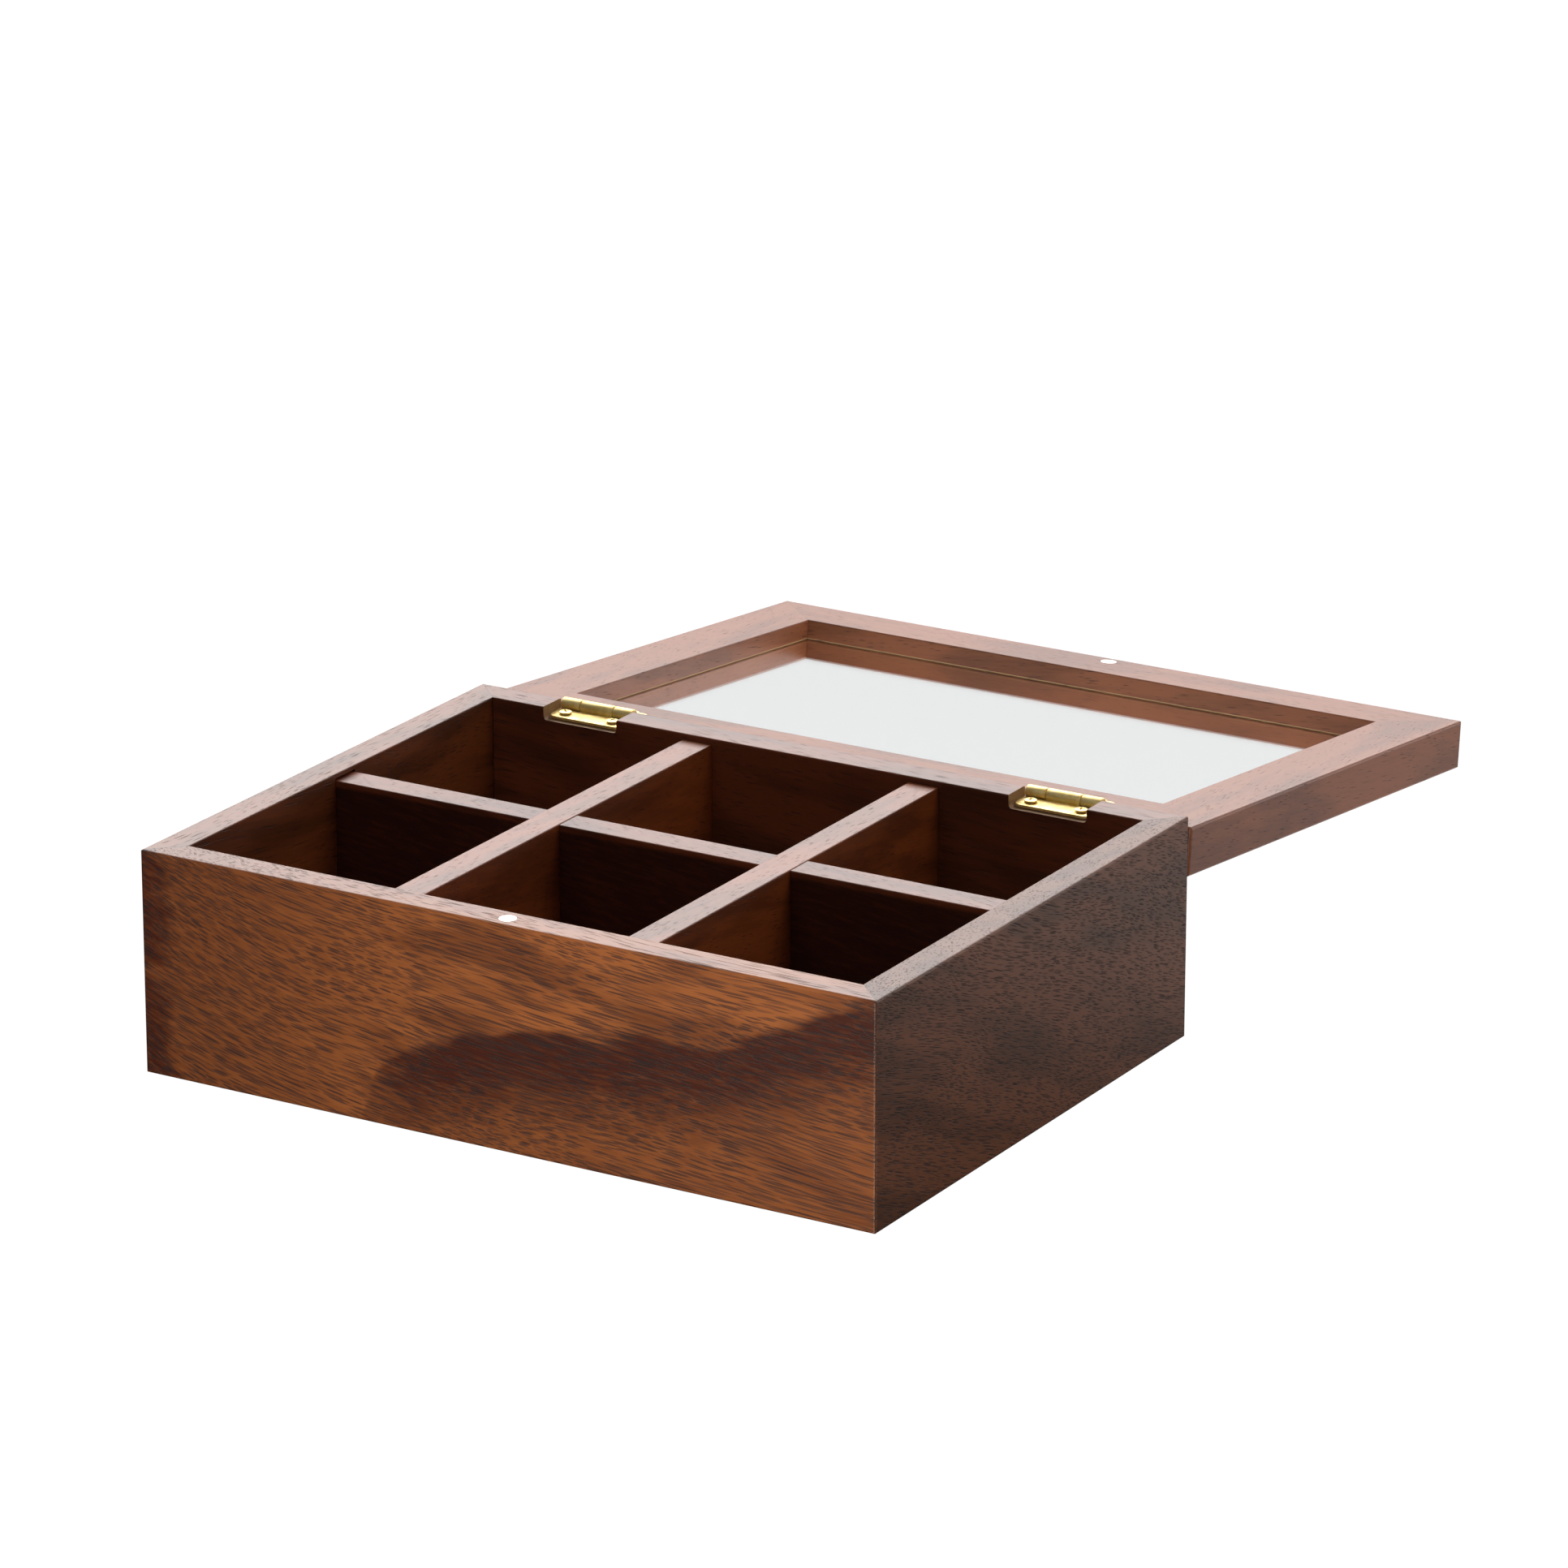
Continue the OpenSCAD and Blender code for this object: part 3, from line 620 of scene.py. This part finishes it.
def screw_tree():
    """Geometry Nodes tree that stands a screw on every point, leaning as the point says."""
    tree = bpy.data.node_groups.new("wood_screws", "GeometryNodeTree")
    sizes = ("Head Diameter", "Cone Height", "Rim Height", "Dome Height", "Shank Diameter",
             "Shank Length", "Slot Length", "Slot Width", "Slot Depth")
    tree.interface.new_socket("Points", in_out="INPUT", socket_type="NodeSocketGeometry")
    for label in sizes:
        tree.interface.new_socket(label, in_out="INPUT", socket_type="NodeSocketFloat")
    tree.interface.new_socket("Seed", in_out="INPUT", socket_type="NodeSocketInt")
    tree.interface.new_socket("Finish", in_out="INPUT", socket_type="NodeSocketMaterial")
    tree.interface.new_socket("Screws", in_out="OUTPUT", socket_type="NodeSocketGeometry")
    given = tree.nodes.new("NodeGroupInput").outputs
    out = tree.nodes.new("NodeGroupOutput")

    def lifted(geometry, height, scale=(1.0, 1.0, 1.0), turn=(0.0, 0.0, 0.0)):
        feeds = {"Geometry": geometry, "Scale": scale, "Rotation": turn,
                 "Translation": put(tree, "ShaderNodeCombineXYZ", {2: height}).outputs[0]}
        return put(tree, "GeometryNodeTransform", feeds).outputs[0]

    head_r = reckon(tree, "MULTIPLY", given["Head Diameter"], 0.5)
    shank_r = reckon(tree, "MULTIPLY", given["Shank Diameter"], 0.5)
    shank = put(tree, "GeometryNodeMeshCylinder",
                {"Vertices": FINE, "Radius": shank_r, "Depth": given["Shank Length"]}).outputs[0]
    half = reckon(tree, "MULTIPLY_ADD", given["Shank Length"], -0.5, OVERLAP)
    cone = put(tree, "GeometryNodeMeshCone",
               {"Vertices": FINE, "Radius Top": head_r, "Radius Bottom": shank_r,
                "Depth": given["Cone Height"]}).outputs[0]
    rim = put(tree, "GeometryNodeMeshCylinder",
              {"Vertices": FINE, "Radius": head_r, "Depth": given["Rim Height"]}).outputs[0]
    rim_z = reckon(tree, "MULTIPLY_ADD", given["Rim Height"], 0.5, given["Cone Height"])
    top_z = reckon(tree, "ADD", given["Cone Height"], given["Rim Height"])
    dome = put(tree, "GeometryNodeMeshUVSphere",
               {"Segments": FINE, "Rings": DOME_RINGS, "Radius": head_r}).outputs[0]
    flat = put(tree, "ShaderNodeCombineXYZ",
               {0: 1.0, 1: 1.0, 2: reckon(tree, "DIVIDE", given["Dome Height"], head_r)}).outputs[0]
    slot_z = reckon(tree, "ADD", top_z, given["Dome Height"])
    slot_size = put(tree, "ShaderNodeCombineXYZ",
                    {0: given["Slot Length"], 1: given["Slot Width"],
                     2: reckon(tree, "MULTIPLY", given["Slot Depth"], 2.0)}).outputs[0]
    slot = put(tree, "GeometryNodeMeshCube", {"Size": slot_size}).outputs[0]

    body = put(tree, "GeometryNodeMeshBoolean", operation="UNION", solver="EXACT")
    for part in (lifted(shank, half), cone, lifted(rim, rim_z), lifted(dome, top_z, flat)):
        tree.links.new(part, body.inputs["Mesh 2"])
    cut = put(tree, "GeometryNodeMeshBoolean", {"Mesh 1": body.outputs[0]},
              operation="DIFFERENCE", solver="EXACT")
    for turn in (0.0, math.pi / 2):
        tree.links.new(lifted(slot, slot_z, turn=(0.0, 0.0, turn)), cut.inputs["Mesh 2"])

    smooth = put(tree, "GeometryNodeSetShadeSmooth", {"Geometry": cut.outputs[0]})
    angle = tree.nodes.new("GeometryNodeInputMeshEdgeAngle").outputs[0]
    sharp = put(tree, "FunctionNodeCompare", {0: angle, 1: SCREW_CREASE},
                data_type="FLOAT", operation="GREATER_THAN").outputs[0]
    creased = put(tree, "GeometryNodeSetShadeSmooth",
                  {"Geometry": smooth.outputs[0], "Selection": sharp, "Shade Smooth": False},
                  domain="EDGE")

    lean = put(tree, "GeometryNodeInputNamedAttribute", {"Name": "lean"}, data_type="FLOAT")
    upright = put(tree, "FunctionNodeEulerToRotation",
                  {0: put(tree, "ShaderNodeCombineXYZ", {0: lean.outputs[0]}).outputs[0]})
    turn = put(tree, "FunctionNodeRandomValue", data_type="FLOAT")
    tree.links.new(given["Seed"], turn.inputs["Seed"])
    spin_z = reckon(tree, "MULTIPLY", turn.outputs[1], math.pi)
    spin = put(tree, "FunctionNodeEulerToRotation",
               {0: put(tree, "ShaderNodeCombineXYZ", {2: spin_z}).outputs[0]})
    facing = put(tree, "FunctionNodeRotateRotation",
                 {"Rotation": upright.outputs[0], "Rotate By": spin.outputs[0]},
                 rotation_space="LOCAL")
    stood = put(tree, "GeometryNodeInstanceOnPoints",
                {"Points": given["Points"], "Instance": creased.outputs[0],
                 "Rotation": facing.outputs[0]})
    real = put(tree, "GeometryNodeRealizeInstances", {"Geometry": stood.outputs[0]})
    done = put(tree, "GeometryNodeSetMaterial",
               {"Geometry": real.outputs[0], "Material": given["Finish"]})
    tree.links.new(done.outputs[0], out.inputs[0])
    return tree


SCREWS = screw_tree()
SCREW_SIZES = {
    "Head Diameter": HEAD_D, "Cone Height": CONE_H, "Rim Height": RIM_H, "Dome Height": DOME_H,
    "Shank Diameter": SHANK_D, "Shank Length": SHANK_L, "Slot Length": SLOT_L,
    "Slot Width": SLOT_W, "Slot Depth": SLOT_D, "Seed": SCREW_SEED, "Finish": bright_brass,
}
HINGE_X = 95.8
SCREW_X = 10.0
SCREW_Y = -6.9
SCREW_Z = -2.0


def drive_screws(name, body, nodes, lean, seats):
    """One mesh with the screws of both hinges on one body."""
    mesh = bpy.data.meshes.new(name)
    mesh.from_pydata([tuple(Vector(seat) * MM) for seat in seats], [], [])
    mesh.attributes.new("lean", "FLOAT", "POINT").data.foreach_set("value", [lean] * len(seats))
    piece = bpy.data.objects.new(name, mesh)
    bpy.context.scene.collection.objects.link(piece)
    modifier = piece.modifiers.new("screws", "NODES")
    modifier.node_group = SCREWS
    for item in SCREWS.interface.items_tree:
        if item.in_out == "INPUT" and item.name in SCREW_SIZES:
            modifier[item.identifier] = SCREW_SIZES[item.name]
    found = bpy.context.evaluated_depsgraph_get()
    done = bpy.data.meshes.new_from_object(piece.evaluated_get(found))
    piece.modifiers.clear()
    piece.data = done
    done.name = name
    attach(piece, body)
    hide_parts(*nodes)


across_box = [side * HINGE_X + step for side in (-1, 1) for step in (-SCREW_X, SCREW_X)]
drive_screws("box_screws", "box", ["left_hinge_box_screws", "right_hinge_box_screws"], 0.0,
             [(x, AXIS.y + SCREW_Y, AXIS.z + SCREW_Z) for x in across_box])
lid_seat = Matrix.Rotation(-OPEN_TURN, 3, "X") @ Vector((0.0, SCREW_Y, -SCREW_Z))
drive_screws("lid_screws", "lid", ["left_hinge_lid_screws", "right_hinge_lid_screws"],
             math.pi - OPEN_TURN,
             [(x, AXIS.y + lid_seat.y, AXIS.z + lid_seat.z) for x in across_box])

# ---- Magnets -----------------------------------------------------------------------------
# Two nickel-plated discs, 6 mm across, pressed flush into the rim and the lid's front rail.
# They find each other when the lid is shut and hold it down.

GRIT_RATE = (1800.0,) * 3
NICKEL_PALE = (0.93, 0.92, 0.88, 1)
NICKEL_DEEP = (0.80, 0.79, 0.76, 1)

material, tree, shader = bare_material("satin_nickel")
place = put(tree, "ShaderNodeTexCoord").outputs["Object"]
grit = noise(tree, shift(tree, "MULTIPLY", place, GRIT_RATE), 2.0, 0.6).outputs[0]
plate = tint(tree, grit, NICKEL_PALE, NICKEL_DEEP)
tree.links.new(plate, shader.inputs["Base Color"])
tree.links.new(reckon(tree, "MULTIPLY_ADD", grit, 0.15, 0.25), shader.inputs["Roughness"])
shader.inputs["Metallic"].default_value = 1.0
dress("box_magnet", material)
dress("lid_magnet", material)

# ---- Studio ------------------------------------------------------------------------------
# A white sweep, a broad soft light high behind the box, a low strip in front of it, a faint
# fill from the front and two small lights from the right. None of this belongs to the object.

# The camera sees the sweep plain white. For every other ray it is dim in front, brighter
# behind the box and brightest under the open lid, where it lights the lid from below.
REACH = 30.0
FLOOR_Z = -0.4 * MM
PAPER_WHITE = 1.03
FLOOR_GLOW = (0.015, 0.6)
GLOW_SPAN = (-0.05, 0.30)
LID_GLOW = 2.0
LID_EDGE = (0.11, 0.15)

floor_mesh = bpy.data.meshes.new("floor")
corners = ((-REACH, -REACH), (REACH, -REACH), (REACH, REACH), (-REACH, REACH))
floor_mesh.from_pydata([(x, y, FLOOR_Z) for x, y in corners], [], [(0, 1, 2, 3)])
floor = bpy.data.objects.new("floor", floor_mesh)
bpy.context.scene.collection.objects.link(floor)
material = bpy.data.materials.new("white_sweep")
material.use_nodes = True
tree = material.node_tree
tree.nodes.clear()
paths = tree.nodes.new("ShaderNodeLightPath").outputs
seen = reckon(tree, "MAXIMUM", paths["Is Camera Ray"], paths["Is Transmission Ray"])
white = put(tree, "ShaderNodeEmission", {"Color": (1, 1, 1, 1), "Strength": PAPER_WHITE})
spot = put(tree, "ShaderNodeTexCoord").outputs["Object"]
spot = put(tree, "ShaderNodeSeparateXYZ", {0: spot}).outputs
back = ease(tree, spot[1], *GLOW_SPAN, *FLOOR_GLOW)
aside = ease(tree, reckon(tree, "ABSOLUTE", spot[0]), *LID_EDGE, 1.0, 0.0)
under_lid = reckon(tree, "MULTIPLY", aside, ease(tree, spot[1], *LID_EDGE))
back = reckon(tree, "MULTIPLY_ADD", under_lid, LID_GLOW, back)
glow = put(tree, "ShaderNodeEmission", {"Color": (1, 1, 1, 1), "Strength": back})
both = put(tree, "ShaderNodeMixShader", {0: seen, 1: glow.outputs[0], 2: white.outputs[0]})
end = put(tree, "ShaderNodeOutputMaterial")
tree.links.new(both.outputs[0], end.inputs["Surface"])
floor_mesh.materials.append(material)

BRIGHT_SIDE = (-0.49, 0.86, 0.15)
ROOM_LEVEL = (0.02, 0.62)
ROOM_COLOUR = (0.97, 0.985, 1.0, 1)

world = bpy.data.worlds.new("studio")
bpy.context.scene.world = world
world.use_nodes = True
tree = world.node_tree
tree.nodes.clear()
way = put(tree, "ShaderNodeTexCoord").outputs["Generated"]
feeds = {0: way, 1: BRIGHT_SIDE}
toward = put(tree, "ShaderNodeVectorMath", feeds, operation="DOT_PRODUCT").outputs["Value"]
room = ease(tree, toward, 0.0, 0.9, *ROOM_LEVEL)
paths = tree.nodes.new("ShaderNodeLightPath").outputs
level = reckon(tree, "MAXIMUM", room, paths["Is Camera Ray"])
sky = put(tree, "ShaderNodeBackground", {"Color": ROOM_COLOUR, "Strength": level})
end = put(tree, "ShaderNodeOutputWorld")
tree.links.new(sky.outputs[0], end.inputs["Surface"])

AIM = Vector((0.0, 0.10, 0.05))


def softbox(name, azimuth, elevation, distance, width, height, power, colour):
    """Rectangular area light that looks at the object. Azimuth 0 is at the front, 90 right."""
    data = bpy.data.lights.new(name, "AREA")
    data.shape = "RECTANGLE"
    data.size = width
    data.size_y = height
    data.energy = power
    data.color = colour
    lamp = bpy.data.objects.new(name, data)
    a = math.radians(azimuth)
    e = math.radians(elevation)
    away = Vector((math.sin(a) * math.cos(e), -math.cos(a) * math.cos(e), math.sin(e)))
    lamp.location = AIM + away * distance
    lamp.rotation_euler = away.to_track_quat("Z", "Y").to_euler()
    lamp.visible_camera = False
    bpy.context.scene.collection.objects.link(lamp)


# Each lamp: azimuth and elevation in degrees, distance, width and height in metres, watts.
softbox("back_light", 211, 37, 2.2, 2.8, 1.8, 72, (1.0, 0.95, 0.93))
softbox("fill_light", 5, 35, 2.0, 1.2, 0.8, 5.0, (1.0, 0.95, 0.88))
softbox("key_light", 17, -0.3, 1.25, 0.8, 0.09, 10.5, (1.0, 0.95, 0.89))
softbox("side_light", 150, 6, 2.0, 1.0, 0.4, 3.2, (0.95, 0.97, 1.0))
softbox("warm_light", 96, 30, 1.6, 0.5, 0.5, 4.0, (1.0, 0.74, 0.45))

# ---- Camera ------------------------------------------------------------------------------
# A long lens from the front right, a little above the rim, as a catalogue picture is taken.

SENSOR_MM = 36.0
LENS_MM = 176.81
EYE = (1.3128, -2.1181, 0.9429)
LOOKING = (-0.48604, 0.81288, -0.32091)

camera_data = bpy.data.cameras.new("camera")
camera = bpy.data.objects.new("camera", camera_data)
bpy.context.scene.collection.objects.link(camera)
camera_data.sensor_width = SENSOR_MM
camera_data.lens = LENS_MM
camera_data.clip_start = 0.05
camera_data.clip_end = 200.0
camera.location = EYE
camera.rotation_euler = Vector(LOOKING).to_track_quat("-Z", "Y").to_euler()
bpy.context.scene.camera = camera
bpy.context.scene.view_settings.view_transform = "Standard"
